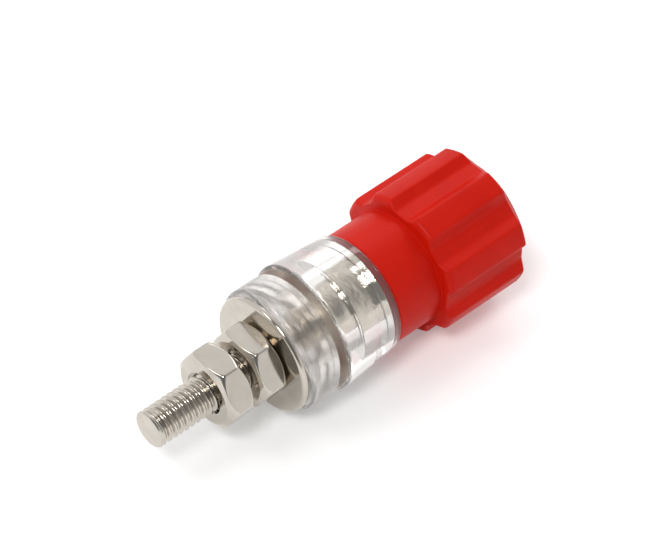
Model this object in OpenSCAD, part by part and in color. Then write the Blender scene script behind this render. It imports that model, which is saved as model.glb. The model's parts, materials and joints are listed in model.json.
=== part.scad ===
// Panel binding post with a socket for a 4 mm plug, lying on its side.
// The axis runs along Y with the knob towards -Y and the rear stud towards +Y. The origin is the
// centre of the panel seat, which is the rear face of the front insulator. Each piece is drawn
// standing on the seat with the knob upwards, and lay_down() turns it onto its side.

/* [Rear stud] */
// Outside diameter of the stud's thread
stud_d = 3.9; // [3:0.05:5]
// Length of bare thread behind the terminal nut
stud_free_l = 6.75; // [4:0.25:20]
// Bevel at the stud's free end
stud_bevel = 0.35; // [0.1:0.05:0.6]

/* [Nuts and washer] */
// Width of each nut across its flats
nut_af = 7.5; // [6.8:0.1:8.2]
// Height of each nut
nut_h = 3.1; // [2.4:0.1:4]
// Diameter of the flat ring left on each nut face by its bevel
nut_face_d = 6.7; // [5.8:0.1:6.8]
// Angle between a nut's bevel and its face, in degrees
nut_bevel_angle = 30; // [20:1:45]
// Bevel at each end of a nut's bore
nut_mouth = 0.25; // [0.05:0.05:0.4]
// Gap between the terminal nut and the panel nut
nut_gap = 0.9; // [0:0.1:6]
// Outside diameter of the flat washer
washer_d = 12.4; // [9:0.1:13]
// Thickness of the flat washer
washer_t = 0.55; // [0.5:0.05:1.6]
// Edge that the punch rolled over on the washer's rear face
washer_edge = 0.3; // [0.1:0.05:0.35]

/* [Insulators] */
// Gap left for the panel between the two insulators
panel_gap = 0.7; // [0.3:0.1:5]
// Diameter of the front insulator at the panel seat
seat_d = 13.9; // [12:0.1:16]
// Step from the edge of the panel seat in to the rear insulator's side
rear_step = 0.35; // [0:0.05:0.6]
// Height of the rear insulator
rear_h = 3.9; // [2.8:0.1:6]
// Diameter of the front insulator at its front face
front_d = 12.8; // [12:0.1:14]
// Height of the front insulator
front_h = 7.2; // [6:0.1:12]
// Rounding of the insulators' rims
rim_round = 0.4; // [0.2:0.05:0.6]
// Rounding of the rear insulator's rim behind the washer
rear_round = 0.7; // [0.2:0.05:1]
// Diameter of the boss that fills the panel hole
boss_d = 8; // [6:0.1:10]
// Depth of the boss inside the rear insulator
boss_engage = 1.7; // [0.8:0.1:2]
// Thickness of plastic between the panel seat and the post's shoulder
floor_t = 1; // [0.6:0.1:2.5]

/* [Post] */
// Outside diameter of the post's front thread
post_d = 5.9; // [5.4:0.1:7]
// Length of the front thread
post_l = 12.8; // [11:0.1:18]
// Diameter of the shank inside the front insulator
shank_d = 5.4; // [4.6:0.1:6]
// Diameter of the collar that the wire is clamped on
collar_d = 7; // [6.4:0.1:8.2]
// Height of the collar
collar_h = 3.8; // [2:0.1:4.6]
// Diameter of the relief between the collar and the front thread
relief_d = 5.2; // [4.9:0.1:5.3]
// Height of the relief
relief_h = 0.5; // [0.3:0.1:0.8]
// Diameter of the plug socket
plug_d = 4.1; // [4:0.05:4.3]
// Depth of the plug socket below the collar's front face
plug_end = 1.2; // [0.4:0.1:2.5]
// Bevel at the mouth of the plug socket
plug_bevel = 0.4; // [0.1:0.05:0.5]
// Diameter of the cross hole for a wire
wire_d = 2; // [1:0.1:2.4]
// Distance from the collar to the nearest edge of the wire hole
wire_rise = 0.9; // [0.9:0.1:1.4]

/* [Knob] */
// Diameter of the knob's plain neck
neck_d = 12.3; // [11.5:0.1:13]
// Length of the plain neck
neck_l = 5.45; // [3:0.05:8]
// Bevel at the neck's rear rim
neck_edge = 0.2; // [0.1:0.05:0.4]
// Length of the ribbed grip
grip_l = 10.25; // [8:0.05:16]
// Diameter over the ribs at the rear of the grip
rib_back_d = 15.45; // [14.6:0.05:17]
// Rise of the ribs' tops from the rear of the grip to its front
rib_rise = 0.05; // [0:0.05:0.4]
// Diameter at the floor of the grooves
groove_d = 13.7; // [12.8:0.1:14]
// Number of ribs
rib_count = 8; // [5:1:10]
// Width of a rib across its top, up to where its flanks would meet it unrounded
rib_top_w = 2.3; // [1.4:0.1:2.6]
// Width of a rib at the groove's floor
rib_foot_w = 3.8; // [2.8:0.1:4.2]
// Rounding along a rib's two top edges
rib_edge_r = 0.6; // [0.1:0.05:0.8]
// Rounding of the ribs' rear ends
rib_back_r = 0.65; // [0.2:0.05:1]
// Bevel of the ribs' front ends
rib_front_bevel = 0.4; // [0.1:0.05:0.6]
// Diameter of the plain nose in front of the grip
nose_d = 12; // [9:0.1:12.4]
// Length of the nose
nose_l = 1; // [0.6:0.1:3]
// Rounding of the nose's rim
nose_round = 0.4; // [0.1:0.05:0.5]
// Diameter of the plug's way in through the nose
entry_d = 4.6; // [4.4:0.1:5]
// Bevel at the plug's way in
entry_bevel = 0.7; // [0.2:0.1:1]
// Room around the post for a bare wire under the insert
chamber_h = 3; // [2.8:0.1:4]

/* [Knob insert] */
// Outside diameter of the threaded insert
insert_d = 8.5; // [7.6:0.1:9.4]
// Length of the threaded insert
insert_l = 8.4; // [6:0.1:9]
// Bevel at the insert's four rims
insert_bevel = 0.3; // [0.1:0.05:0.4]

/* [Clearances] */
// Radial play of each thread
thread_play = 0.04; // [0.02:0.01:0.08]
// Radial play of the insert in the knob
insert_play = 0.03; // [0.02:0.01:0.08]
// Radial play of the post in the front insulator
post_play = 0.05; // [0.02:0.01:0.15]
// Radial play of the insulators and the washer around the stud
stud_play = 0.2; // [0.1:0.05:0.4]
// Radial play of the boss in the rear insulator
boss_play = 0.1; // [0.05:0.05:0.3]
// Gap between the front insulator and the knob when it is screwed down
knob_gap = 0.1; // [0.05:0.05:0.5]
// Gap between the post's front end and the knob
post_end_gap = 0.4; // [0.2:0.1:1]

/* [Hidden] */

$fn = 96;
ARC_STEPS = 6;
CUT = 1;

NICKEL = [0.78, 0.75, 0.71];
CLEAR = [0.88, 0.88, 0.87, 0.4];
RED = [0.82, 0.11, 0.08];

// Heights along the axis, from the stud's free end to the nose
rear_front_z = -panel_gap;
boss_end_z = rear_front_z - boss_engage;
rear_back_z = rear_front_z - rear_h;
washer_back_z = rear_back_z - washer_t;
panel_nut_z = washer_back_z - nut_h;
terminal_nut_z = panel_nut_z - nut_gap - nut_h;
stud_end_z = terminal_nut_z - stud_free_l;
collar_z = front_h - collar_h;
wire_z = front_h + wire_rise + wire_d / 2;
post_end_z = front_h + post_l;
knob_z = front_h + knob_gap;
insert_z = knob_z + chamber_h;
ledge_z = insert_z + insert_l;
grip_z = knob_z + neck_l;
nose_z = grip_z + grip_l;
nose_end_z = nose_z + nose_l;

stud_r = stud_d / 2;
stud_hole_r = stud_r + stud_play;
post_r = post_d / 2;
nut_corner_r = nut_af / 2 / cos(30);
rear_r = seat_d / 2 - rear_step;
grip_back_r = rib_back_d / 2;
grip_front_r = grip_back_r + rib_rise;
knob_pocket_r = insert_d / 2 + insert_play;

// Points of a quarter round of the given radius about a centre, from one angle to another
function arc(centre, radius, from, to) = [
    for (i = [0:ARC_STEPS])
        let (a = from + (to - from) * i / ARC_STEPS)
        centre + radius * [cos(a), sin(a)]
];

module lay_down() {
    rotate([90, 0, 0])
        children();
}

// A cylinder between two heights
module rod(radius, from, to) {
    translate([0, 0, from])
        cylinder(r = radius, h = to - from);
}

// A hole with a bevel of the given size at each end
module bevelled_hole(radius, from, to, bevel) {
    rod(radius, from - CUT, to + CUT);
    translate([0, 0, from])
        cylinder(r1 = radius + bevel, r2 = radius, h = bevel);
    translate([0, 0, to - bevel])
        cylinder(r1 = radius, r2 = radius + bevel, h = bevel);
}

// Turned brass post: stud, shank, wire collar and front thread in one piece
module post() {
    color(NICKEL)
        lay_down()
            difference() {
                rotate_extrude()
                    polygon([
                        [0, stud_end_z],
                        [stud_r - stud_bevel, stud_end_z],
                        [stud_r, stud_end_z + stud_bevel],
                        [stud_r, floor_t],
                        [shank_d / 2, floor_t],
                        [shank_d / 2, collar_z],
                        [collar_d / 2, collar_z],
                        [collar_d / 2, front_h],
                        [relief_d / 2, front_h],
                        [relief_d / 2, front_h + relief_h],
                        [post_r, front_h + relief_h + (post_d - relief_d) / 2],
                        [post_r, post_end_z],
                        [0, post_end_z]
                    ]);
                rod(plug_d / 2, front_h - plug_end, post_end_z + CUT);
                translate([0, 0, post_end_z - plug_bevel])
                    cylinder(r1 = plug_d / 2, r2 = plug_d / 2 + plug_bevel, h = plug_bevel);
                translate([-post_d, 0, wire_z])
                    rotate([0, 90, 0])
                        cylinder(d = wire_d, h = 2 * post_d);
            }
}

// Clear front insulator: a tapered body with the boss that fills the panel hole
module front_insulator() {
    seat_r = seat_d / 2;
    front_r = front_d / 2;
    body = concat(
        [[0, 0]],
        arc([seat_r - rim_round, rim_round], rim_round, -90, 0),
        arc([front_r - rim_round, front_h - rim_round], rim_round, 0, 90),
        [[0, front_h]]
    );
    color(CLEAR)
        lay_down()
            difference() {
                union() {
                    rotate_extrude()
                        polygon(body);
                    rod(boss_d / 2, boss_end_z, floor_t);
                }
                rod(stud_hole_r, boss_end_z - CUT, floor_t + CUT);
                rod(shank_d / 2 + post_play, floor_t, front_h + CUT);
                rod(collar_d / 2 + post_play, collar_z, front_h + CUT);
            }
}

// Clear rear insulator: a bush that takes the boss from the panel side
module rear_insulator() {
    body = concat(
        [[0, rear_back_z]],
        arc([rear_r - rear_round, rear_back_z + rear_round], rear_round, -90, 0),
        arc([rear_r - rim_round, rear_front_z - rim_round], rim_round, 0, 90),
        [[0, rear_front_z]]
    );
    color(CLEAR)
        lay_down()
            difference() {
                rotate_extrude()
                    polygon(body);
                rod(stud_hole_r, rear_back_z - CUT, rear_front_z + CUT);
                rod(boss_d / 2 + boss_play, boss_end_z, rear_front_z + CUT);
            }
}

module flat_washer() {
    washer_r = washer_d / 2;
    color(NICKEL)
        lay_down()
            difference() {
                rotate_extrude()
                    polygon([
                        [0, washer_back_z],
                        [washer_r - washer_edge, washer_back_z],
                        [washer_r, washer_back_z + washer_edge],
                        [washer_r, rear_back_z],
                        [0, rear_back_z]
                    ]);
                rod(stud_hole_r, washer_back_z - CUT, rear_back_z + CUT);
            }
}

// Hexagon nut with both faces bevelled and a plain bore over the thread
module hex_nut(back_z) {
    bevel_h = (nut_corner_r - nut_face_d / 2) * tan(nut_bevel_angle);
    color(NICKEL)
        lay_down()
            translate([0, 0, back_z])
                difference() {
                    intersection() {
                        cylinder(r = nut_corner_r, h = nut_h, $fn = 6);
                        rotate_extrude()
                            polygon([
                                [0, 0],
                                [nut_face_d / 2, 0],
                                [nut_corner_r, bevel_h],
                                [nut_corner_r, nut_h - bevel_h],
                                [nut_face_d / 2, nut_h],
                                [0, nut_h]
                            ]);
                    }
                    bevelled_hole(stud_r + thread_play, 0, nut_h, nut_mouth);
                }
}

module panel_nut() {
    hex_nut(panel_nut_z);
}

module terminal_nut() {
    hex_nut(terminal_nut_z);
}

// Brass sleeve inside the knob that runs on the post's front thread
module knob_insert() {
    insert_r = insert_d / 2;
    color(NICKEL)
        lay_down()
            difference() {
                rotate_extrude()
                    polygon([
                        [0, insert_z],
                        [insert_r - insert_bevel, insert_z],
                        [insert_r, insert_z + insert_bevel],
                        [insert_r, ledge_z - insert_bevel],
                        [insert_r - insert_bevel, ledge_z],
                        [0, ledge_z]
                    ]);
                bevelled_hole(post_r + thread_play, insert_z, ledge_z, insert_bevel);
            }
}

// Half of a rib's section about the X axis: a sloping flank, a rounded edge and a flat top
module half_rib() {
    foot = [sqrt(pow(groove_d / 2, 2) - pow(rib_foot_w / 2, 2)), rib_foot_w / 2];
    slope = atan2(grip_front_r - foot.x, foot.y - rib_top_w / 2);
    edge = [grip_front_r - rib_edge_r, rib_top_w / 2 - rib_edge_r * tan(slope / 2)];
    flank_end = edge + rib_edge_r * [cos(slope), sin(slope)];
    polygon([[0, 0], foot, flank_end, edge, [grip_front_r, edge.y], [grip_front_r, 0]]);
    translate(edge)
        circle(r = rib_edge_r);
}

// Ribs standing around the grip, with none pointing straight up or down
module rib_ring() {
    for (i = [0:rib_count - 1])
        rotate(360 / rib_count * (i + 0.5) - 90) {
            half_rib();
            mirror([0, 1])
                half_rib();
        }
}

// Turned outline that rounds the ribs' rear ends, gives their tops draft and bevels their fronts
module grip_outline() {
    outline = concat(
        [[0, grip_z]],
        arc([grip_back_r - rib_back_r, grip_z + rib_back_r], rib_back_r, -90, 0),
        [[grip_front_r, nose_z - rib_front_bevel], [grip_front_r - rib_front_bevel, nose_z], [0, nose_z]]
    );
    rotate_extrude()
        polygon(outline);
}

// Round core of the knob: neck, groove floor and nose
module knob_core() {
    neck_r = neck_d / 2;
    groove_r = groove_d / 2;
    nose_r = nose_d / 2;
    core = concat(
        [
            [0, knob_z],
            [neck_r - neck_edge, knob_z],
            [neck_r, knob_z + neck_edge],
            [neck_r, grip_z],
            [groove_r, grip_z],
            [groove_r, nose_z - rib_front_bevel],
            [nose_r, nose_z]
        ],
        arc([nose_r - nose_round, nose_end_z - nose_round], nose_round, 0, 90),
        [[0, nose_end_z]]
    );
    rotate_extrude()
        polygon(core);
}

// Ribbed plastic knob, bored for the insert, the post's end and the plug
module knob() {
    color(RED)
        lay_down()
            difference() {
                union() {
                    knob_core();
                    intersection() {
                        translate([0, 0, grip_z])
                            linear_extrude(grip_l)
                                rib_ring();
                        grip_outline();
                    }
                }
                rod(knob_pocket_r, knob_z - CUT, ledge_z);
                rod(post_r + post_end_gap, ledge_z - CUT, post_end_z + post_end_gap);
                rod(entry_d / 2, post_end_z, nose_end_z + CUT);
                translate([0, 0, nose_end_z - entry_bevel])
                    cylinder(r1 = entry_d / 2, r2 = entry_d / 2 + entry_bevel, h = entry_bevel);
            }
}

post();
front_insulator();
rear_insulator();
flat_washer();
panel_nut();
terminal_nut();
knob_insert();
knob();
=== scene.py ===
"""Finished looks of a panel binding post with a socket for a 4 mm plug.

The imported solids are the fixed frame. The axis of the part is the Y axis. Heights along it are counted
from the panel seat, grow towards the knob and so run against Y. Lengths are in metres.
"""

import json
import math

import bmesh
import bpy
from mathutils import Matrix, Vector


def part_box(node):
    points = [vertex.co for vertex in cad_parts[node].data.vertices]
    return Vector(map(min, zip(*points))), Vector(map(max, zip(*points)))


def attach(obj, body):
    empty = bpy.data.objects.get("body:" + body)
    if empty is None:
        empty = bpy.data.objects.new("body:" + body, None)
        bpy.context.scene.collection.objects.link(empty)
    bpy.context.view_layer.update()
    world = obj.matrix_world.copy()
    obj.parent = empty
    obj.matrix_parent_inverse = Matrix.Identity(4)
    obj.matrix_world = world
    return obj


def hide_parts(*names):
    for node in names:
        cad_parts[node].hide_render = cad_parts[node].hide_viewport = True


bl_info = {
    "name": "Binding Post Looks",
    "version": (1, 0, 0),
    "blender": (4, 5, 0),
    "location": "View3D > Sidebar > Binding Post",
    "description": "Builds the finished pieces, materials and stage of a panel binding post",
    "category": "Add Mesh",
}

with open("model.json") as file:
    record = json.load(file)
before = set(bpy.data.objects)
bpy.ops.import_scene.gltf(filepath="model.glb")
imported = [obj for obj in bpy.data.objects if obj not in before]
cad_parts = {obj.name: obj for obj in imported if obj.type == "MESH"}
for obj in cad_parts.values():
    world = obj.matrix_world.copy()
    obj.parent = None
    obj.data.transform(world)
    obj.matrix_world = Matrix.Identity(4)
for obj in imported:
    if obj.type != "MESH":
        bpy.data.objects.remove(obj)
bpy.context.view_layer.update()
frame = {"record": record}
MM = 0.001

# A length too small to see, the distance at which points count as one and the sides of a nut
HAIR = 0.01 * MM
MERGE_DISTANCE = 0.0005 * MM
SIDES = 6

# Columns of the round pieces whose outline shows, and the side of a thread
FINE_COLUMNS = 144
ON_ROD = 1.0
IN_HOLE = -1.0

# Sockets of a node tree, and the colour sockets of a Mix node
FLOAT = "NodeSocketFloat"
GEOMETRY = "NodeSocketGeometry"
MATERIAL = "NodeSocketMaterial"
MIX_FIRST, MIX_SECOND, MIX_RESULT = 6, 7, 2


# Sizes that the frame gives

def ends(node):
    """Rear and front heights of a solid along the axis."""
    low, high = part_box(node)
    return -high.y, -low.y


def reach(node):
    """Largest half width of a solid across the axis."""
    low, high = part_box(node)
    return (high.x - low.x) / 2


def apothem(node):
    """Half width of a nut across its flats."""
    low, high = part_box(node)
    return (high.z - low.z) / 2


def mount_radius(name):
    """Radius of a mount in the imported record."""
    return MOUNTS[name]["dims"]["r_mm"] * MM


MOUNTS = {mount["name"]: mount for mount in frame["record"]["mounts"]}


# Property helpers

def number(name, description, default, **kind):
    """Property for a number of any kind."""
    return bpy.props.FloatProperty(name=name, description=description, default=default, **kind)


def length(name, description, millimetres):
    """Length property with its default given in millimetres."""
    return number(name, description, millimetres * MM, min=0.0, precision=5,
                  subtype="DISTANCE", unit="LENGTH")


def share(name, description, default):
    """Property for a share between none and all."""
    return number(name, description, default, min=0.0, max=1.0, subtype="FACTOR")


def degrees(name, description, default):
    """Angle property with its default given in degrees."""
    return number(name, description, math.radians(default), subtype="ANGLE", unit="ROTATION")


def strength(name, description, default):
    """Property for the strength of a light."""
    return number(name, description, default, min=0.0)


def triple(name, description, default, **kind):
    """Property for three numbers."""
    return bpy.props.FloatVectorProperty(name=name, description=description, default=default, size=3, **kind)


def colour(name, description, default):
    """Linear colour property."""
    return triple(name, description, default, min=0.0, max=1.0, subtype="COLOR")


def amount(name, description, default, low):
    """Property for a whole number, at most 24."""
    return bpy.props.IntProperty(name=name, description=description, default=default, min=low, max=24)


def part(kind, name, description):
    """Property that holds one group of settings."""
    return bpy.props.PointerProperty(type=kind, name=name, description=description)


# Settings

class PostSizes(bpy.types.PropertyGroup):
    """Sizes of the turned post that the frame's box can't give"""

    stud_bevel: length("Stud bevel", "Bevel at the free end of the rear stud", 0.14)
    stud_thread_end: length("Stud thread end", "Height where the thread on the stud has run out", 0.8)
    shank_radius: length("Shank radius", "Radius of the plain shank in the front insulator", 2.7)
    shank_start: length("Shank start", "Height of the insulator floor that the shank stands on", 1.0)
    collar_start: length("Collar start", "Height where the collar begins", 3.4)
    collar_radius: length("Collar radius", "Radius of the collar that the wire is clamped on", 3.5)
    relief_radius: length("Relief radius", "Radius of the run-out groove in front of the collar", 2.6)
    relief_length: length("Relief length", "Length of the run-out groove", 0.5)
    thread_radius: length("Front thread radius", "Outer radius of the thread that carries the knob", 2.95)
    thread_bevel: length("Front thread bevel", "Bevel at the end of that thread", 0.2)
    mouth_bevel: length("Mouth bevel", "Bevel at the mouth of the plug bore", 0.4)
    bore_floor: length("Bore floor", "Height of the floor of the plug bore", 6.0)
    edge: length("Edge rounding", "Rounding that the plating leaves on turned edges", 0.07)


class ThreadSizes(bpy.types.PropertyGroup):
    """Sizes of the threads on the stud, the nuts, the post and the insert"""

    stud_pitch: length("Stud pitch", "Pitch of the thread on the rear stud", 0.7)
    post_pitch: length("Post pitch", "Pitch of the thread that carries the knob", 0.75)
    depth: share("Thread depth", "Depth of a thread as a share of its pitch", 0.52)
    rows: amount("Rows per pitch", "Mesh rows in one pitch of a thread", 14, 6)


class InsulatorSizes(bpy.types.PropertyGroup):
    """Sizes of the two clear insulators"""

    front_radius: length("Front radius", "Radius of the front insulator at its knob end", 6.4)
    rim: length("Rim rounding", "Rounding of the outer rims", 0.4)
    front_rim: length("Front rim rounding", "Rounding of the front insulator's rim at the knob", 0.2)
    recess_radius: length("Recess radius", "Radius of the shallow recess that the knob's end sits in", 5.85)
    recess_depth: length("Recess depth", "Depth of that recess", 0.75)
    recess_play: length("Recess play", "Play between the recess and the knob's end", 0.06)
    rear_rim: length("Rear rim rounding", "Rounding of the rear insulator's rim behind the washer", 0.7)
    boss_radius: length("Boss radius", "Radius of the boss that fills the panel hole", 4.0)
    boss_play: length("Boss play", "Play between the boss and its pocket", 0.1)
    stud_hole: length("Stud hole radius", "Radius of the holes that the stud runs through", 2.15)
    post_play: length("Post play", "Play between the post and its seat", 0.05)
    seating: length("Seating gap", "Air left between faces that rest on each other", 0.02)


class NutSizes(bpy.types.PropertyGroup):
    """Sizes of the hexagon nuts and the flat washer"""

    face_radius: length("Face radius", "Radius of the flat ring on a nut's faces", 3.35)
    bevel: degrees("Bevel angle", "Slope of the bevelled faces", 30.0)
    corner: length("Corner rounding", "Rounding of the six upright corners", 0.3)
    edge: length("Edge rounding", "Rounding between the bevel and the flats", 0.07)
    blunt: length("Corner blunting", "Rounding between the bevel and the six corners", 0.6)
    mouth: length("Mouth bevel", "Bevel of the threaded hole", 0.25)
    play: length("Thread play", "Play between the nut's bore and the stud", 0.04)
    washer_roll: length("Washer roll", "Edge that the punch rolled over on the washer's rear face", 0.3)
    washer_edge: length("Washer edge", "Rounding of the washer's other edges", 0.05)


class KnobSizes(bpy.types.PropertyGroup):
    """Sizes of the ribbed knob and its brass insert"""

    neck_radius: length("Neck radius", "Radius of the plain neck", 6.15)
    neck_edge: length("Neck edge", "Rounding of the neck's rear edge", 0.2)
    grip_start: length("Grip start", "Height where the ribs begin", 12.75)
    groove_radius: length("Groove radius", "Radius of the grooves between the ribs", 6.85)
    rib_rear: length("Rib radius at the rear", "Radius of the rib tops at the neck end", 7.725)
    rib_front: length("Rib radius at the front", "Radius of the rib tops at the plug end", 7.775)
    rib_top: length("Rib top width", "Width of a rib across its top", 2.3)
    rib_foot: length("Rib foot width", "Width of a rib where it meets the groove", 3.8)
    rib_edge: length("Rib edge rounding", "Rounding of the long edges of a rib", 0.6)
    foot_fillet: length("Foot fillet", "Hollow fillet between a rib and the groove", 0.8)
    rib_end: length("Rib end rounding", "Rounding of the ribs at the neck end", 0.65)
    groove_end: length("Groove end rounding", "Rounding of the grooves at the neck end", 0.15)
    nose_bevel: degrees("Nose bevel", "Slope of the bevel that the ribs and the grooves end in", 56.3)
    groove_cut: length("Groove cut", "Distance by which the grooves end before that bevel", 0.35)
    bevel_edge: length("Bevel edge rounding", "Rounding where that bevel begins", 0.3)
    nose_radius: length("Nose radius", "Radius of the flat front face inside that bevel", 5.9)
    nose_edge: length("Nose rounding", "Rounding between the bevel and the front face", 0.6)
    entry_bevel: length("Entry bevel", "Bevel of the hole that the plug enters", 0.7)
    entry_radius: length("Entry radius", "Radius of the hole that the plug enters", 2.3)
    room_radius: length("Room radius", "Radius of the room for the post's end", 3.35)
    room_end: length("Room end", "Height where the room for the post's end stops", 20.4)
    pocket_play: length("Pocket play", "Play between the insert and its pocket", 0.03)
    insert_bevel: length("Insert bevel", "Bevel of the insert's edges", 0.3)
    insert_play: length("Insert thread play", "Play between the insert's bore and the post", 0.04)
    ribs: amount("Ribs", "Number of ribs around the knob", 8, 3)


class FinishColours(bpy.types.PropertyGroup):
    """Colours of the finishes"""

    nickel: colour("Nickel", "Bright nickel plating", (0.57, 0.53, 0.475))
    nickel_worn: colour("Worn nickel", "Plating where it is duller and warmer", (0.50, 0.46, 0.405))
    # Paler nickel is painted light: the same plating, brightened for the light lost through the clear body
    nickel_painted_light: colour("Clad nickel", "Paler plating inside the clear body", (0.70, 0.66, 0.60))
    red: colour("Red", "Red moulded plastic", (0.65, 0.011, 0.002))
    red_dark: colour("Deep red", "Red plastic where it flowed darker", (0.58, 0.008, 0.0015))
    # The knob's end in the clear recess gets a darker red: painted shade where little light reaches it
    red_end_painted_shade: share("Red of the end", "Share of the red that the knob's end in the clear recess shows", 0.5)
    clear: colour("Clear", "Tint of the clear plastic", (0.97, 0.952, 0.928))
    clear_hazy: colour("Hazy clear", "Tint of the hazy rear insulator", (0.998, 0.962, 0.925))
    # The tan of the satin face is painted warm light seen in the gap between the insulators
    clear_satin_painted_warm_light: colour("Satin clear", "Tint of the satin face at the panel", (0.92, 0.82, 0.68))
    floor: colour("Floor", "Pale floor of the stage", (0.98, 0.98, 0.98))


class StageSettings(bpy.types.PropertyGroup):
    """Camera, light and floor of the stage"""

    aim: triple("Aim", "Point that the camera looks at", (-0.6 * MM, -3.493 * MM, 5.073 * MM),
                subtype="TRANSLATION", unit="LENGTH")
    azimuth: degrees("Azimuth", "Direction of the camera around the part", 226.8795)
    elevation: degrees("Elevation", "Height of the camera above the floor", 46.6179)
    roll: degrees("Roll", "Turn of the camera about its own axis", 1.0371)
    distance: length("Distance", "Distance from the camera to the aim", 280.0)
    lens: number("Lens", "Focal length on a sensor 36 mm wide", 159.35, min=1.0,
                 subtype="DISTANCE_CAMERA", unit="CAMERA")
    floor_tilt: degrees("Floor tilt", "Slope of the part on the floor, lying on its ribs and seat rim", 2.2)
    floor_lift: share("Floor lift", "White that the floor shows besides the light that falls on it", 0.23)
    dome: strength("Dome", "Strength of the white dome of light", 1.0)
    shade: share("Shade", "Share of the dome's light that is left on the camera's side", 0.22)
    shade_inner: degrees("Full shade", "Angle from the camera up to which the dome is fully shaded", 50.0)
    shade_outer: degrees("Shade end", "Angle from the camera where the dome is white", 80.0)
    mirror_inner: degrees("Full shade in metal", "Angle of full shade that metal and glass show", 36.0)
    mirror_outer: degrees("Shade end in metal", "Angle where the shade ends that metal and glass show", 75.0)
    key_radiance: strength("Key light", "Radiance of the soft box beside the camera", 5.0)
    fill_radiance: strength("Fill light", "Radiance of the light above the camera", 18.0)
    strip_radiance: strength("Strip light", "Radiance of the strip light behind the part", 4.0)


class BindingPostSettings(bpy.types.PropertyGroup):
    """All settings of the binding post"""

    post: part(PostSizes, "Post", "Sizes of the post")
    threads: part(ThreadSizes, "Threads", "Sizes of the threads")
    insulators: part(InsulatorSizes, "Insulators", "Sizes of the insulators")
    nuts: part(NutSizes, "Nuts", "Sizes of the nuts and the washer")
    knob: part(KnobSizes, "Knob", "Sizes of the knob and its insert")
    colours: part(FinishColours, "Colours", "Colours of the finishes")
    stage: part(StageSettings, "Stage", "Camera, light and floor")


# Mesh helpers

def at(radius, angle, height):
    """Point at a radius and an angle about the axis and a height along it."""
    return radius * math.cos(angle), -height, radius * math.sin(angle)


def rounded(corners, usual=0, steps=4, support=0.04 * MM):
    """Closed outline of (across, along) corners with the usual rounding, or a third value as their own.

    Each arc has a support point on both sides.
    """
    points = []
    for index, (across, along, *own) in enumerate(corners):
        corner = Vector((across, along))
        rounding = own[0] if own else usual
        if not rounding:
            points.append(corner)
            continue
        back = (Vector(corners[index - 1][:2]) - corner).normalized()
        onward = (Vector(corners[(index + 1) % len(corners)][:2]) - corner).normalized()
        half = back.angle(onward) / 2
        run = rounding / math.tan(half)
        centre = corner + (back + onward).normalized() * rounding / math.sin(half)
        first = corner + back * run - centre
        turn = first.angle_signed(corner + onward * run - centre)
        points.append(corner + back * (run + support))
        for step in range(steps + 1):
            points.append(centre + Matrix.Rotation(-turn * step / steps, 2) @ first)
        points.append(corner + onward * (run + support))
    return points


def stretch(radius, start, end, spacing):
    """Even rows of an outline along a threaded stretch."""
    count = max(2, math.ceil(abs(end - start) / spacing))
    return [Vector((radius, start + (end - start) * row / count)) for row in range(count + 1)]


def linked(name, data):
    """New object in the scene."""
    made = bpy.data.objects.new(name, data)
    bpy.context.scene.collection.objects.link(made)
    return made


def skin(name, columns, around=True, loop=True):
    """Mesh object over columns of points. Around joins the last column to the first, loop a column's ends."""
    rows = len(columns[0])
    faces = []
    for column in range(len(columns) if around else len(columns) - 1):
        beside = (column + 1) % len(columns)
        for row in range(rows if loop else rows - 1):
            above = (row + 1) % rows
            corners = ((column, row), (beside, row), (beside, above), (column, above))
            faces.append([place * rows + level for place, level in corners])
    mesh = bpy.data.meshes.new(name)
    mesh.from_pydata([point for column in columns for point in column], [], faces)
    return linked(name, mesh)


def seal(piece, sharp=math.radians(38)):
    """Merges doubles, points the faces outwards and shades the piece smooth between its sharp edges."""
    shell = bmesh.new()
    shell.from_mesh(piece.data)
    bmesh.ops.remove_doubles(shell, verts=shell.verts, dist=MERGE_DISTANCE)
    bmesh.ops.recalc_face_normals(shell, faces=shell.faces)
    shell.to_mesh(piece.data)
    shell.free()
    piece.data.shade_smooth()
    piece.data.set_sharp_from_angle(angle=sharp)
    return piece


def turned(name, outline, columns=96, loop=True):
    """Piece turned about the axis from an outline of (radius, height) points."""
    angles = [math.tau * column / columns for column in range(columns)]
    walls = [[at(point[0], angle, point[1]) for point in outline] for angle in angles]
    return seal(skin(name, walls, loop=loop))


def settle(piece):
    """Gives a piece the mesh that its modifiers make and drops them."""
    evaluated = piece.evaluated_get(bpy.context.evaluated_depsgraph_get())
    made = bpy.data.meshes.new_from_object(evaluated)
    old = piece.data
    piece.modifiers.clear()
    piece.data = made
    bpy.data.meshes.remove(old)
    made.name = piece.name


def bake(piece, tree, values):
    """Runs a geometry tree over a piece and keeps the result as its plain mesh."""
    modifier = piece.modifiers.new(tree.name, "NODES")
    modifier.node_group = tree
    for item in tree.interface.items_tree:
        if item.in_out == "INPUT" and item.name in values:
            modifier[item.identifier] = values[item.name]
    settle(piece)


def drill(piece, radius, centre, half_length):
    """Cuts a round cross hole along X through a piece."""
    outline = [Vector((0, -half_length)), Vector((radius, -half_length)), Vector((radius, half_length)),
               Vector((0, half_length))]
    cutter = turned("cutter", outline, columns=48, loop=False)
    cutter.data.transform(Matrix.Translation(centre) @ Matrix.Rotation(math.radians(90), 4, "Z"))
    modifier = piece.modifiers.new("cross_hole", "BOOLEAN")
    modifier.operation = "DIFFERENCE"
    modifier.solver = "EXACT"
    modifier.object = cutter
    settle(piece)
    bpy.data.objects.remove(cutter)


def fit(piece, body, node):
    """Lets a finished piece ride on its body in place of a solid."""
    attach(piece, body)
    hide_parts(node)


# Node helpers

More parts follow.
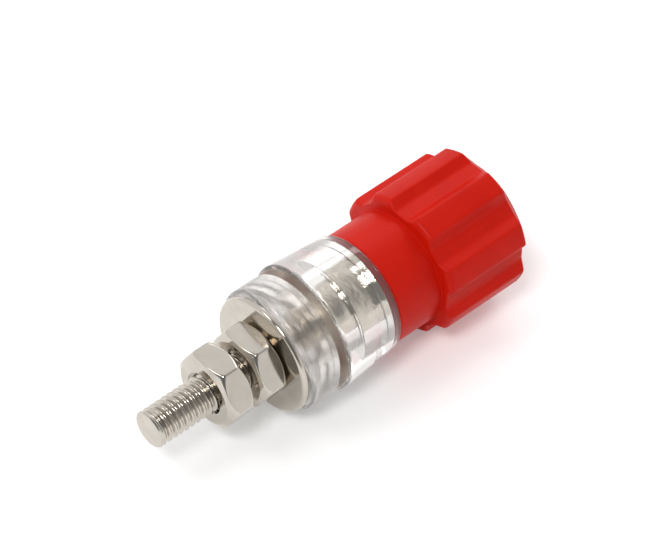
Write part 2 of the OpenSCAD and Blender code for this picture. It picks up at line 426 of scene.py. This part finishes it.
def add(tree, kind, inputs=None, **settings):
    """Node with its settings made and its inputs filled or linked."""
    node = tree.nodes.new(kind)
    for key, value in settings.items():
        setattr(node, key, value)
    for socket, value in (inputs or {}).items():
        if isinstance(value, bpy.types.NodeSocket):
            tree.links.new(value, node.inputs[socket])
        else:
            node.inputs[socket].default_value = value
    return node


def calc(tree, operation, *values):
    """Result of a math node over sockets or numbers."""
    return add(tree, "ShaderNodeMath", dict(enumerate(values)), operation=operation).outputs[0]


def ramp(tree, value, start, end, low=0.0, high=1.0, interpolation="LINEAR"):
    """Value mapped from one clamped range onto another."""
    inputs = {"Value": value, "From Min": start, "From Max": end, "To Min": low, "To Max": high}
    return add(tree, "ShaderNodeMapRange", inputs, interpolation_type=interpolation).outputs[0]


def named_tree(name, kind, inputs, outputs):
    """Node tree with named sockets, and its given values where the tree is new and has to be built."""
    if name in bpy.data.node_groups:
        return bpy.data.node_groups[name], None
    tree = bpy.data.node_groups.new(name, kind)
    for direction, sockets in (("INPUT", inputs), ("OUTPUT", outputs)):
        for label, socket in sockets:
            tree.interface.new_socket(label, in_out=direction, socket_type=socket)
    return tree, tree.nodes.new("NodeGroupInput").outputs


def from_axis(tree, across, upright):
    """Distance from the axis of the part."""
    squares = [calc(tree, "MULTIPLY", value, value) for value in (across, upright)]
    return calc(tree, "SQRT", calc(tree, "ADD", *squares))


# Geometry trees

def finish_tree(tree, given, geometry):
    """Ends a geometry tree with plain geometry in its material."""
    plain = add(tree, "GeometryNodeRealizeInstances", {"Geometry": geometry})
    coated = add(tree, "GeometryNodeSetMaterial", {
        "Geometry": plain.outputs[0], "Material": given["Material"]})
    add(tree, "NodeGroupOutput", {"Geometry": coated.outputs[0]})
    return tree


def thread_tree():
    """Geometry tree that cuts a right-hand thread on a rod or in a hole."""
    sizes = ("Radius", "Depth", "Pitch", "Start", "End", "Run Out", "Bevel", "Side")
    inputs = [("Geometry", GEOMETRY), *((size, FLOAT) for size in sizes), ("Material", MATERIAL)]
    tree, given = named_tree("cut_thread", "GeometryNodeTree", inputs, [("Geometry", GEOMETRY)])
    if given is None:
        return tree
    across, along, upright = add(
        tree, "ShaderNodeSeparateXYZ", {0: add(tree, "GeometryNodeInputPosition").outputs[0]}).outputs
    height = calc(tree, "MULTIPLY", along, -1.0)
    radius = calc(tree, "MAXIMUM", from_axis(tree, across, upright), HAIR)

    # Depth at each point, from its place between two crests and the run-out at the ends
    root_end, crest_start = 0.2, 0.86
    turns = calc(tree, "DIVIDE", calc(tree, "ARCTAN2", upright, across), math.tau)
    pitches = calc(tree, "DIVIDE", height, given["Pitch"])
    phase = calc(tree, "FRACT", calc(tree, "SUBTRACT", pitches, turns))
    from_root = calc(tree, "MULTIPLY", calc(tree, "ABSOLUTE", calc(tree, "SUBTRACT", phase, 0.5)), 2.0)
    groove = calc(tree, "MULTIPLY", ramp(tree, from_root, root_end, crest_start, 1.0, 0.0), given["Depth"])
    rise = ramp(tree, height, given["Start"], calc(tree, "ADD", given["Start"], given["Run Out"]))
    fall = ramp(tree, height, given["End"], calc(tree, "SUBTRACT", given["End"], given["Run Out"]))
    depth = calc(tree, "MULTIPLY", groove, calc(tree, "MULTIPLY", rise, fall))

    # A rod is cut down to the groove and a hole is opened up to it
    floor = calc(tree, "SUBTRACT", given["Radius"], calc(tree, "MULTIPLY", depth, given["Side"]))
    surplus = calc(tree, "MULTIPLY", calc(tree, "SUBTRACT", radius, floor), given["Side"])
    cut = calc(tree, "MULTIPLY", calc(tree, "MAXIMUM", surplus, 0.0), given["Side"])
    scale = calc(tree, "DIVIDE", calc(tree, "SUBTRACT", radius, cut), radius)
    place = add(tree, "ShaderNodeCombineXYZ", {
        0: calc(tree, "MULTIPLY", across, scale), 1: along, 2: calc(tree, "MULTIPLY", upright, scale)})
    off = calc(tree, "ABSOLUTE", calc(tree, "SUBTRACT", radius, given["Radius"]))
    near = calc(tree, "LESS_THAN", off, calc(tree, "ADD", given["Bevel"], HAIR))
    inside = calc(tree, "MULTIPLY", calc(tree, "GREATER_THAN", height, given["Start"]),
                  calc(tree, "LESS_THAN", height, given["End"]))
    moved = add(tree, "GeometryNodeSetPosition", {
        "Geometry": given["Geometry"],
        "Selection": calc(tree, "MULTIPLY", near, inside),
        "Position": place.outputs[0]})
    return finish_tree(tree, given, moved.outputs[0])


def ring_tree():
    """Geometry tree that repeats one sector around the axis and joins the copies."""
    inputs = [("Geometry", GEOMETRY), ("Count", "NodeSocketInt"), ("Merge Distance", FLOAT),
              ("Material", MATERIAL)]
    tree, given = named_tree("repeat_around_axis", "GeometryNodeTree", inputs, [("Geometry", GEOMETRY)])
    if given is None:
        return tree
    points = add(tree, "GeometryNodePoints", {"Count": given["Count"]})
    step = calc(tree, "DIVIDE", math.tau, given["Count"])
    turn = calc(tree, "MULTIPLY", add(tree, "GeometryNodeInputIndex").outputs[0], step)
    euler = add(tree, "ShaderNodeCombineXYZ", {1: turn})
    rotation = add(tree, "FunctionNodeEulerToRotation", {0: euler.outputs[0]})
    copies = add(tree, "GeometryNodeInstanceOnPoints", {
        "Points": points.outputs[0], "Instance": given["Geometry"], "Rotation": rotation.outputs[0]})
    plain = add(tree, "GeometryNodeRealizeInstances", {"Geometry": copies.outputs[0]})
    joined = add(tree, "GeometryNodeMergeByDistance", {
        "Geometry": plain.outputs[0], "Distance": given["Merge Distance"]})
    return finish_tree(tree, given, joined.outputs[0])


def ring(piece, count, material):
    """Repeats a piece's sector around the axis and seals the seams."""
    piece.data.materials.append(material)
    bake(piece, ring_tree(), {"Count": count, "Merge Distance": MERGE_DISTANCE, "Material": material})
    seal(piece)


def thread(piece, material, radius, pitch, start, end, bevel, side):
    """Cuts a thread, which runs out over one pitch at its ends, into a piece."""
    depth = bpy.context.scene.binding_post.threads.depth * pitch
    bake(piece, thread_tree(), {
        "Radius": radius, "Depth": depth, "Pitch": pitch, "Start": start, "End": end, "Run Out": pitch,
        "Bevel": bevel, "Side": side, "Material": material})


# Shader groups

def spread(tree, noise):
    """Noise spread over the range from 0 to 1."""
    return ramp(tree, noise.outputs[0], 0.25, 0.75)


def surface_noise():
    """Shader group with a fine grain and broad patches, both between 0 and 1."""
    inputs = [("Grain Size", FLOAT), ("Patch Size", FLOAT)]
    outputs = [("Grain", FLOAT), ("Patch", FLOAT)]
    tree, given = named_tree("surface_noise", "ShaderNodeTree", inputs, outputs)
    if given is None:
        return tree
    place = add(tree, "ShaderNodeTexCoord").outputs["Object"]
    results = {}
    for label, size, detail in (("Grain", "Grain Size", 2.0), ("Patch", "Patch Size", 3.0)):
        scale = calc(tree, "DIVIDE", 1.0, given[size])
        noise = add(tree, "ShaderNodeTexNoise", {"Vector": place, "Scale": scale, "Detail": detail})
        results[label] = spread(tree, noise)
    add(tree, "NodeGroupOutput", results)
    return tree


def turning_marks():
    """Shader group with the fine rings that a lathe or a die leaves, between 0 and 1."""
    inputs = [("Spacing", FLOAT), ("Along Share", FLOAT)]
    tree, given = named_tree("turning_marks", "ShaderNodeTree", inputs, [("Rings", FLOAT)])
    if given is None:
        return tree
    across, along, upright = add(
        tree, "ShaderNodeSeparateXYZ", {0: add(tree, "ShaderNodeTexCoord").outputs["Object"]}).outputs
    lengthwise = calc(tree, "MULTIPLY", along, given["Along Share"])
    travel = calc(tree, "ADD", from_axis(tree, across, upright), lengthwise)
    inputs = {"W": calc(tree, "DIVIDE", travel, given["Spacing"]), "Scale": 1.0, "Detail": 2.0}
    noise = add(tree, "ShaderNodeTexNoise", inputs, noise_dimensions="1D")
    add(tree, "NodeGroupOutput", {"Rings": spread(tree, noise)})
    return tree


def placed(tree, group, **inputs):
    """Outputs of a shader group placed in a material."""
    node = add(tree, "ShaderNodeGroup", node_tree=group)
    for label, value in inputs.items():
        node.inputs[label.replace("_", " ").title()].default_value = value
    return node.outputs


# Materials

def new_material(name):
    """Empty material and its node tree."""
    material = bpy.data.materials.new(name)
    material.use_nodes = True
    tree = material.node_tree
    tree.nodes.clear()
    return material, tree


def mixed(tree, factor, first, second):
    """Colour mixed between two colours."""
    mix = add(tree, "ShaderNodeMix", data_type="RGBA")
    tree.links.new(factor, mix.inputs["Factor"])
    mix.inputs[MIX_FIRST].default_value = (*first, 1.0)
    mix.inputs[MIX_SECOND].default_value = (*second, 1.0)
    return mix.outputs[MIX_RESULT]


def nickel_plate(name, along_share, dull_with_painted_light=0.0, satin=0.0):
    """Nickel over turned or drawn metal. The share before satin makes it rougher and uneven and gives it a
    paler colour, which is painted light; satin takes off some shine.
    """
    if name in bpy.data.materials:
        return bpy.data.materials[name]
    colours = bpy.context.scene.binding_post.colours
    # Under the clear body the plating mixes in the paler nickel, which is painted light
    shades = (colours.nickel, colours.nickel_painted_light) if dull_with_painted_light else (colours.nickel_worn, colours.nickel)
    rough, smooth = (shine + 0.2 * dull_with_painted_light + satin for shine in (0.15, 0.08))
    ring_share = 0.7
    material, tree = new_material(name)
    noise = placed(tree, surface_noise(), grain_size=0.09 * MM, patch_size=1.6 * MM)
    rings = placed(tree, turning_marks(), spacing=0.05 * MM, along_share=along_share)["Rings"]
    grain = calc(tree, "MULTIPLY", noise["Grain"], 1 - ring_share)
    height = calc(tree, "ADD", calc(tree, "MULTIPLY", rings, ring_share), grain)
    bump = add(tree, "ShaderNodeBump", {"Strength": 0.18, "Distance": 0.004 * MM, "Height": height})
    if dull_with_painted_light:
        bump = add(tree, "ShaderNodeBump", {
            "Strength": dull_with_painted_light, "Distance": 0.25 * MM, "Height": noise["Patch"], "Normal": bump.outputs[0]})
    metal = add(tree, "ShaderNodeBsdfPrincipled", {
        "Base Color": mixed(tree, noise["Patch"], *shades),
        "Metallic": 1.0,
        "Roughness": ramp(tree, noise["Patch"], 0.0, 1.0, rough, smooth),
        "Normal": bump.outputs[0]})
    add(tree, "ShaderNodeOutputMaterial", {"Surface": metal.outputs[0]})
    return material


def moulded_red(name, red_share=1.0):
    """Satin red of the moulded knob, or a darker share of it that is painted shade."""
    if name in bpy.data.materials:
        return bpy.data.materials[name]
    colours = bpy.context.scene.binding_post.colours
    shades = [tuple(red_share * value for value in shade) for shade in (colours.red_dark, colours.red)]
    material, tree = new_material(name)
    noise = placed(tree, surface_noise(), grain_size=0.16 * MM, patch_size=3.5 * MM)
    bump = add(tree, "ShaderNodeBump", {"Strength": 0.2, "Distance": 0.01 * MM, "Height": noise["Grain"]})
    plastic = add(tree, "ShaderNodeBsdfPrincipled", {
        "Base Color": mixed(tree, noise["Patch"], *shades),
        "Roughness": ramp(tree, noise["Grain"], 0.0, 1.0, 0.36, 0.48),
        "IOR": 1.46,
        "Specular IOR Level": 0.14,
        "Normal": bump.outputs[0]})
    add(tree, "ShaderNodeOutputMaterial", {"Surface": plastic.outputs[0]})
    return material


def moulded_clear(name, tint, clearness, smooth, rough):
    """Clear moulded plastic with a faint waviness. What isn't clear in it is haze."""
    if name in bpy.data.materials:
        return bpy.data.materials[name]
    thicker = tuple(0.97 * value for value in tint)
    material, tree = new_material(name)
    noise = placed(tree, surface_noise(), grain_size=0.35 * MM, patch_size=2.2 * MM)
    bump = add(tree, "ShaderNodeBump", {"Strength": 0.25, "Distance": 0.03 * MM, "Height": noise["Patch"]})
    plastic = add(tree, "ShaderNodeBsdfPrincipled", {
        "Base Color": mixed(tree, noise["Patch"], tint, thicker),
        "Roughness": ramp(tree, noise["Grain"], 0.0, 1.0, smooth, rough),
        "IOR": 1.49,
        "Transmission Weight": clearness,
        "Normal": bump.outputs[0]})
    add(tree, "ShaderNodeOutputMaterial", {"Surface": plastic.outputs[0]})
    return material


# Operators

class BINDING_POST_OT_post(bpy.types.Operator):
    """Builds the turned post with its stud, collar, plug bore and both threads"""

    bl_idname = "binding_post.build_post"
    bl_label = "Build Post"

    def execute(self, context):
        settings = context.scene.binding_post
        sizes, threads = settings.post, settings.threads
        rear, front = ends("post")
        bore_radius = mount_radius("plug_bore")
        stud_radius = mount_radius("stud_end")
        collar_end = ends("front_insulator")[1]
        thread_start = collar_end + sizes.relief_length + sizes.thread_radius - sizes.relief_radius
        stud_rows = threads.stud_pitch / threads.rows
        post_rows = threads.post_pitch / threads.rows

        bevel_rows = 6
        bevel = [Vector((stud_radius - sizes.stud_bevel * (1 - row / bevel_rows),
                         rear + sizes.stud_bevel * row / bevel_rows)) for row in range(bevel_rows)]
        below_shank = sizes.shank_start - 0.05 * MM
        tip = stretch(stud_radius, rear + sizes.stud_bevel, below_shank, stud_rows)
        middle = rounded([
            (stud_radius, sizes.shank_start),
            (sizes.shank_radius, sizes.shank_start, sizes.edge),
            (sizes.shank_radius, sizes.collar_start),
            (sizes.collar_radius, sizes.collar_start, sizes.edge),
            (sizes.collar_radius, collar_end, sizes.edge),
            (sizes.relief_radius, collar_end),
            (sizes.relief_radius, collar_end + sizes.relief_length),
        ])
        screw = stretch(sizes.thread_radius, thread_start, front - sizes.thread_bevel, post_rows)
        mouth = [
            Vector((sizes.thread_radius - sizes.thread_bevel, front)),
            Vector((bore_radius + sizes.mouth_bevel, front)),
            Vector((bore_radius, front - sizes.mouth_bevel)),
            Vector((bore_radius, sizes.bore_floor)),
            Vector((0, sizes.bore_floor)),
        ]
        outline = [Vector((0, rear))] + bevel + tip + middle + screw + mouth
        post = turned("turned_post", outline, loop=False)
        nickel = nickel_plate("nickel_turned", 1.0)
        thread(post, nickel, stud_radius, threads.stud_pitch, rear + sizes.stud_bevel, sizes.stud_thread_end,
               sizes.stud_bevel, ON_ROD)
        thread(post, nickel, sizes.thread_radius, threads.post_pitch, thread_start - threads.post_pitch,
               front + threads.post_pitch, sizes.thread_bevel, ON_ROD)
        drill(post, mount_radius("wire_hole"), Vector(MOUNTS["wire_hole"]["pos_m"]), 2 * sizes.thread_radius)

        # Plating under the clear plastic is rougher, uneven and painted paler, which is painted light, and
        # the stud behind it is satin
        post.data.materials.append(nickel_plate("nickel_dull", 1.0, dull_with_painted_light=0.5))
        post.data.materials.append(nickel_plate("nickel_rolled", 1.0, satin=0.09))
        clad_start = ends("rear_insulator")[0]
        inward = -0.1 * MM
        for face in post.data.polygons:
            height = -face.center.y
            outward = face.center.x * face.normal.x + face.center.z * face.normal.z > inward
            face.material_index = 2 if height < clad_start else int(outward and height < collar_end)
        fit(post, "base", "post")
        return {"FINISHED"}


class BINDING_POST_OT_insulators(bpy.types.Operator):
    """Builds the clear front and rear insulators"""

    bl_idname = "binding_post.build_insulators"
    bl_label = "Build Insulators"

    def execute(self, context):
        settings = context.scene.binding_post
        sizes, post = settings.insulators, settings.post
        boss_end, front = ends("front_insulator")
        rear_start, rear_end = ends("rear_insulator")
        small = 0.08 * MM
        collar_seat = post.collar_radius + sizes.post_play
        shank_seat = post.shank_radius + sizes.post_play
        body = turned("clear_body", rounded([
            (sizes.stud_hole, boss_end + sizes.seating),
            (sizes.boss_radius, boss_end + sizes.seating),
            (sizes.boss_radius, 0),
            (reach("front_insulator"), 0, sizes.rim),
            (sizes.front_radius, front, sizes.front_rim),
            (sizes.recess_radius, front),
            (sizes.recess_radius, front - sizes.recess_depth),
            (collar_seat, front - sizes.recess_depth),
            (collar_seat, post.collar_start - sizes.seating),
            (shank_seat, post.collar_start - sizes.seating),
            (shank_seat, post.shank_start - sizes.seating),
            (sizes.stud_hole, post.shank_start - sizes.seating),
        ], small, steps=6), columns=FINE_COLUMNS)
        bush = turned("clear_bush", rounded([
            (sizes.stud_hole, rear_start),
            (reach("rear_insulator"), rear_start, sizes.rear_rim),
            (reach("rear_insulator"), rear_end, sizes.rim),
            (sizes.boss_radius + sizes.boss_play, rear_end),
            (sizes.boss_radius + sizes.boss_play, boss_end),
            (sizes.stud_hole, boss_end),
        ], small, steps=6), columns=FINE_COLUMNS)
        colours = settings.colours
        for piece, name, tint, clearness, smooth, rough in (
                (body, "polished_clear", colours.clear, 0.99, 0.03, 0.09),
                (body, "satin_clear", colours.clear_satin_painted_warm_light, 0.8, 0.3, 0.4),
                (bush, "hazy_clear", colours.clear_hazy, 0.95, 0.13, 0.23)):
            piece.data.materials.append(moulded_clear(name, tint, clearness, smooth, rough))

        # The faces that look at the panel are satin, and their tan tint is painted warm light
        at_panel = 0.99
        for face in body.data.polygons:
            face.material_index = int(face.normal.y > at_panel)
        fit(body, "base", "front_insulator")
        fit(bush, "base", "rear_insulator")
        return {"FINISHED"}


class BINDING_POST_OT_washer(bpy.types.Operator):
    """Builds the stamped flat washer"""

    bl_idname = "binding_post.build_washer"
    bl_label = "Build Washer"

    def execute(self, context):
        settings = context.scene.binding_post
        sizes, insulators = settings.nuts, settings.insulators
        rear, front = ends("flat_washer")
        front -= insulators.seating
        radius = reach("flat_washer")
        washer = turned("stamped_washer", rounded([
            (insulators.stud_hole, rear),
            (radius, rear, sizes.washer_roll),
            (radius, front),
            (insulators.stud_hole, front),
        ], sizes.washer_edge), columns=FINE_COLUMNS)
        washer.data.materials.append(nickel_plate("nickel_stamped", 0.0))
        fit(washer, "base", "flat_washer")
        return {"FINISHED"}


class BINDING_POST_OT_nuts(bpy.types.Operator):
    """Builds the panel nut and the terminal nut"""

    bl_idname = "binding_post.build_nuts"
    bl_label = "Build Nuts"

    def sector(self, sizes, threads, node):
        """Columns of one corner of a nut, from the middle of a flat to the middle of the next."""
        rear, front = ends(node)
        flat = apothem(node)
        bore = mount_radius("stud_end") + sizes.play
        half = math.pi / SIDES
        centre = (flat - sizes.corner) / math.cos(half)
        blend = math.atan2(sizes.corner * math.sin(half), centre + sizes.corner * math.cos(half))
        corner_steps, flat_steps = 4, 7
        sweep = [blend * step / corner_steps for step in range(corner_steps)]
        sweep += [blend + (half - blend) * step / flat_steps for step in range(flat_steps + 1)]
        angles = [-angle for angle in reversed(sweep[1:])] + sweep
        hole = stretch(bore, front - sizes.mouth, rear + sizes.mouth, threads.stud_pitch / threads.rows)
        columns = []
        for angle in angles:
            if abs(angle) < blend:
                aside = centre * math.sin(angle)
                radius = centre * math.cos(angle) + math.sqrt(sizes.corner ** 2 - aside ** 2)
            else:
                radius = flat / math.cos(half - abs(angle))
            slope = (radius - sizes.face_radius) * math.tan(sizes.bevel)
            edge = sizes.edge + (sizes.blunt - sizes.edge) * (radius - flat) / (centre + sizes.corner - flat)
            outline = rounded([
                (bore + sizes.mouth, rear, sizes.edge),
                (sizes.face_radius, rear, 2 * sizes.edge),
                (radius, rear + slope, edge),
                (radius, front - slope, edge),
                (sizes.face_radius, front, 2 * sizes.edge),
                (bore + sizes.mouth, front, sizes.edge),
            ], support=0.02 * MM)
            columns.append([at(point[0], angle, point[1]) for point in outline + hole])
        return columns, bore, rear, front

    def execute(self, context):
        settings = context.scene.binding_post
        sizes, threads = settings.nuts, settings.threads
        pitch = threads.stud_pitch
        nickel = nickel_plate("nickel_drawn", 0.0)
        for node, body in (("panel_nut", "base"), ("terminal_nut", "terminal_nut")):
            columns, bore, rear, front = self.sector(sizes, threads, node)
            nut = skin("hexagon_" + node, columns, around=False)
            ring(nut, SIDES, nickel)
            thread(nut, nickel, bore, pitch, rear - pitch, front + pitch, sizes.mouth, IN_HOLE)
            fit(nut, body, node)
        return {"FINISHED"}


class BINDING_POST_OT_knob(bpy.types.Operator):
    """Builds the ribbed knob"""

    bl_idname = "binding_post.build_knob"
    bl_label = "Build Knob"

    def section(self, sizes):
        """Half of a rib's section as (radius, angle), from the middle of its top to that of the groove."""
        groove = sizes.groove_radius
        foot = sizes.rib_foot / 2
        foot_angle = math.asin(foot / groove)
        last = math.pi / sizes.ribs
        angles = [foot_angle + (last - foot_angle) * place for place in (0.5, 0.675, 0.85, 1.0)]
        floor = [(groove * math.cos(angle), groove * math.sin(angle)) for angle in angles]
        points = rounded([
            (sizes.rib_front, 0),
            (sizes.rib_front, sizes.rib_top / 2, sizes.rib_edge),
            (groove * math.cos(foot_angle), foot, sizes.foot_fillet),
            *floor,
        ], steps=5)
        return [(point.length, math.atan2(point.y, point.x)) for point in points]

    def outline(self, sizes, radius, pocket, rear, front, ledge, end_radius, end):
        """Closed outline of the knob where the section has the given radius."""
        high = min(1.0, max(0.0, (radius - sizes.groove_radius) / (sizes.rib_rear - sizes.groove_radius)))
        rib_rear = min(radius, sizes.rib_rear)
        rib_front = min(radius, sizes.rib_front)
        bevel_start = front - (rib_front - sizes.nose_radius) / math.tan(sizes.nose_bevel)
        bevel_start -= (1 - high) * sizes.groove_cut
        small = 0.06 * MM
        return rounded([
            (sizes.neck_radius, rear, sizes.neck_edge),
            (sizes.neck_radius, sizes.grip_start),
            (rib_rear, sizes.grip_start, sizes.groove_end + high * (sizes.rib_end - sizes.groove_end)),
            (rib_front, bevel_start, sizes.bevel_edge),
            (sizes.nose_radius, front, sizes.nose_edge),
            (sizes.entry_radius + sizes.entry_bevel, front),
            (sizes.entry_radius, front - sizes.entry_bevel),
            (sizes.entry_radius, sizes.room_end),
            (sizes.room_radius, sizes.room_end),
            (sizes.room_radius, ledge),
            (pocket, ledge),
            (pocket, end),
            (end_radius, end),
            (end_radius, rear),
        ], small, steps=5)

    def execute(self, context):
        settings = context.scene.binding_post
        sizes, insulators = settings.knob, settings.insulators
        rear, front = ends("knob")
        end = ends("front_insulator")[1] - insulators.recess_depth + insulators.recess_play
        end_radius = insulators.recess_radius - insulators.recess_play
        ledge = ends("knob_insert")[1] + HAIR
        pocket = reach("knob_insert") + sizes.pocket_play
        half = self.section(sizes)
        whole = [(radius, -angle) for radius, angle in reversed(half[1:])] + half
        columns = []
        for radius, angle in whole:
            outline = self.outline(sizes, radius, pocket, rear, front, ledge, end_radius, end)
            columns.append([at(point[0], angle + math.pi / sizes.ribs, point[1]) for point in outline])
        knob = skin("ribbed_knob", columns, around=False)
        ring(knob, sizes.ribs, moulded_red("moulded_red"))
        # The knob's end in the clear recess takes the darker red, which is painted shade
        knob.data.materials.append(moulded_red("moulded_red_end", settings.colours.red_end_painted_shade))
        for face in knob.data.polygons:
            face.material_index = int(-face.center.y < rear + HAIR)
        fit(knob, "knob", "knob")
        return {"FINISHED"}


class BINDING_POST_OT_insert(bpy.types.Operator):
    """Builds the threaded insert inside the knob"""

    bl_idname = "binding_post.build_insert"
    bl_label = "Build Insert"

    def execute(self, context):
        settings = context.scene.binding_post
        sizes, threads = settings.knob, settings.threads
        rear, front = ends("knob_insert")
        radius = reach("knob_insert")
        bore = settings.post.thread_radius + sizes.insert_play
        bevel, pitch = sizes.insert_bevel, threads.post_pitch
        small = 0.05 * MM
        shell = rounded([
            (bore + bevel, rear),
            (radius - bevel, rear),
            (radius, rear + bevel),
            (radius, front - bevel),
            (radius - bevel, front),
            (bore + bevel, front),
        ], small)
        hole = stretch(bore, front - bevel, rear + bevel, pitch / threads.rows)
        insert = turned("threaded_insert", shell + hole)
        nickel = nickel_plate("nickel_turned", 1.0)
        thread(insert, nickel, bore, pitch, rear - pitch, front + pitch, bevel, IN_HOLE)
        fit(insert, "insert", "knob_insert")
        return {"FINISHED"}


class BINDING_POST_OT_stage(bpy.types.Operator):
    """Sets the floor, the light and the camera"""

    bl_idname = "binding_post.set_stage"
    bl_label = "Set Stage"

    def floor(self, settings):
        """Pale floor that the part lies on with its ribs and its seat rim."""
        half = 1.5
        mesh = bpy.data.meshes.new("floor")
        corners = [(-half, -half, 0), (half, -half, 0), (half, half, 0), (-half, half, 0)]
        mesh.from_pydata(corners, [], [(0, 1, 2, 3)])
        drop = Matrix.Translation((0, 0, -reach("front_insulator")))
        mesh.transform(drop @ Matrix.Rotation(settings.stage.floor_tilt, 4, "X"))
        floor = linked("floor", mesh)
        material, tree = new_material("pale_floor")
        noise = placed(tree, surface_noise(), grain_size=0.4 * MM, patch_size=30 * MM)
        white = tuple(settings.colours.floor)
        paper = tuple(0.98 * value for value in white)
        sheet = add(tree, "ShaderNodeBsdfDiffuse", {"Color": mixed(tree, noise["Grain"], paper, white)})
        rays = add(tree, "ShaderNodeLightPath").outputs
        seen = calc(tree, "ADD", rays["Is Camera Ray"], calc(
            tree, "ADD", rays["Is Glossy Ray"], rays["Is Transmission Ray"]))
        lift = calc(tree, "MULTIPLY", calc(tree, "MINIMUM", seen, 1.0), settings.stage.floor_lift)
        glow = add(tree, "ShaderNodeEmission", {"Color": (*white, 1.0), "Strength": lift})
        both = add(tree, "ShaderNodeAddShader", {0: sheet.outputs[0], 1: glow.outputs[0]})
        add(tree, "ShaderNodeOutputMaterial", {"Surface": both.outputs[0]})
        floor.data.materials.append(material)

    def dome(self, context, stage, camera_back):
        """White dome of light, shaded around the place where the camera stands."""
        world = bpy.data.worlds.new("dome")
        context.scene.world = world
        world.use_nodes = True
        tree = world.node_tree
        tree.nodes.clear()
        direction = add(tree, "ShaderNodeTexCoord").outputs["Generated"]
        toward = add(tree, "ShaderNodeVectorMath", {0: direction, 1: camera_back}, operation="DOT_PRODUCT")
        lit, shown = [ramp(tree, toward.outputs["Value"], math.cos(outer), math.cos(inner),
                           stage.dome, stage.dome * stage.shade, "SMOOTHSTEP")
                      for inner, outer in ((stage.shade_inner, stage.shade_outer),
                                           (stage.mirror_inner, stage.mirror_outer))]
        rays = add(tree, "ShaderNodeLightPath").outputs
        mirrored = calc(tree, "MAXIMUM", rays["Is Glossy Ray"], rays["Is Transmission Ray"])
        level = ramp(tree, mirrored, 0.0, 1.0, lit, shown)
        background = add(tree, "ShaderNodeBackground", {"Color": (1.0, 1.0, 1.0, 1.0), "Strength": level})
        add(tree, "ShaderNodeOutputWorld", {"Surface": background.outputs[0]})

    def light_box(self, name, towards, width, depth, radiance):
        """Soft light box in a direction from the part, facing it."""
        distance = 0.6
        data = bpy.data.lights.new(name, "AREA")
        data.shape = "RECTANGLE"
        data.size = width
        data.size_y = depth
        data.energy = radiance * math.pi * width * depth
        box = linked(name, data)
        box.location = towards.normalized() * distance
        box.rotation_euler = towards.to_track_quat("Z", "Y").to_euler()

    def camera(self, context, stage):
        """Camera at the photograph's angle, and the direction back to it."""
        around, up_angle = stage.azimuth, stage.elevation
        back = Vector((math.sin(around) * math.cos(up_angle), -math.cos(around) * math.cos(up_angle),
                       math.sin(up_angle)))
        level = Vector((0, 0, 1)).cross(back).normalized()
        upright = back.cross(level)
        right = math.cos(stage.roll) * level + math.sin(stage.roll) * upright
        up = back.cross(right)
        data = bpy.data.cameras.new("camera")
        data.sensor_width = 36.0
        data.sensor_fit = "HORIZONTAL"
        data.lens = stage.lens
        data.clip_start = 0.01
        data.clip_end = 10.0
        camera = linked("camera", data)
        turn = Matrix((right, up, back)).transposed().to_4x4()
        camera.matrix_world = Matrix.Translation(Vector(stage.aim) + back * stage.distance) @ turn
        context.scene.camera = camera
        return back

    def execute(self, context):
        settings = context.scene.binding_post
        stage = settings.stage
        back = self.camera(context, stage)
        self.floor(settings)
        self.dome(context, stage, back)

        # Name, direction from the part, width, depth and radiance of each light box, in metres
        for name, towards, width, depth, radiance in (
                ("key_light", (0.303, 0.44, 0.836), 0.2, 0.17, stage.key_radiance),
                ("strip_light", (0.38, -0.64, 0.66), 0.32, 0.08, stage.strip_radiance),
                ("fill_light", (-0.25, 0.46, 0.84), 0.16, 0.16, stage.fill_radiance)):
            self.light_box(name, Vector(towards), width, depth, radiance)
        context.scene.view_settings.view_transform = "Standard"
        return {"FINISHED"}


# Panel and registration

OPERATORS = (
    BINDING_POST_OT_post,
    BINDING_POST_OT_insulators,
    BINDING_POST_OT_washer,
    BINDING_POST_OT_nuts,
    BINDING_POST_OT_knob,
    BINDING_POST_OT_insert,
    BINDING_POST_OT_stage,
)


class BINDING_POST_PT_panel(bpy.types.Panel):
    """Settings and build steps of the binding post"""

    bl_idname = "BINDING_POST_PT_panel"
    bl_label = "Binding Post"
    bl_space_type = "VIEW_3D"
    bl_region_type = "UI"
    bl_category = "Binding Post"

    def draw(self, context):
        settings = context.scene.binding_post
        for operator in OPERATORS:
            self.layout.operator(operator.bl_idname)
        for group in ("post", "threads", "insulators", "nuts", "knob", "colours", "stage"):
            box = self.layout.box()
            sizes = getattr(settings, group)
            box.label(text=settings.bl_rna.properties[group].name)
            for name in sizes.__annotations__:
                box.prop(sizes, name)


CLASSES = (
    PostSizes,
    ThreadSizes,
    InsulatorSizes,
    NutSizes,
    KnobSizes,
    FinishColours,
    StageSettings,
    BindingPostSettings,
    *OPERATORS,
    BINDING_POST_PT_panel,
)


def register():
    for cls in CLASSES:
        bpy.utils.register_class(cls)
    bpy.types.Scene.binding_post = part(BindingPostSettings, "Binding post", "Settings of the binding post")


def unregister():
    del bpy.types.Scene.binding_post
    for cls in reversed(CLASSES):
        bpy.utils.unregister_class(cls)


def main():
    """Builds the pieces and the stage."""
    register()
    bpy.ops.binding_post.build_post()
    bpy.ops.binding_post.build_insulators()
    bpy.ops.binding_post.build_washer()
    bpy.ops.binding_post.build_nuts()
    bpy.ops.binding_post.build_knob()
    bpy.ops.binding_post.build_insert()
    bpy.ops.binding_post.set_stage()


if __name__ == "__main__":
    main()
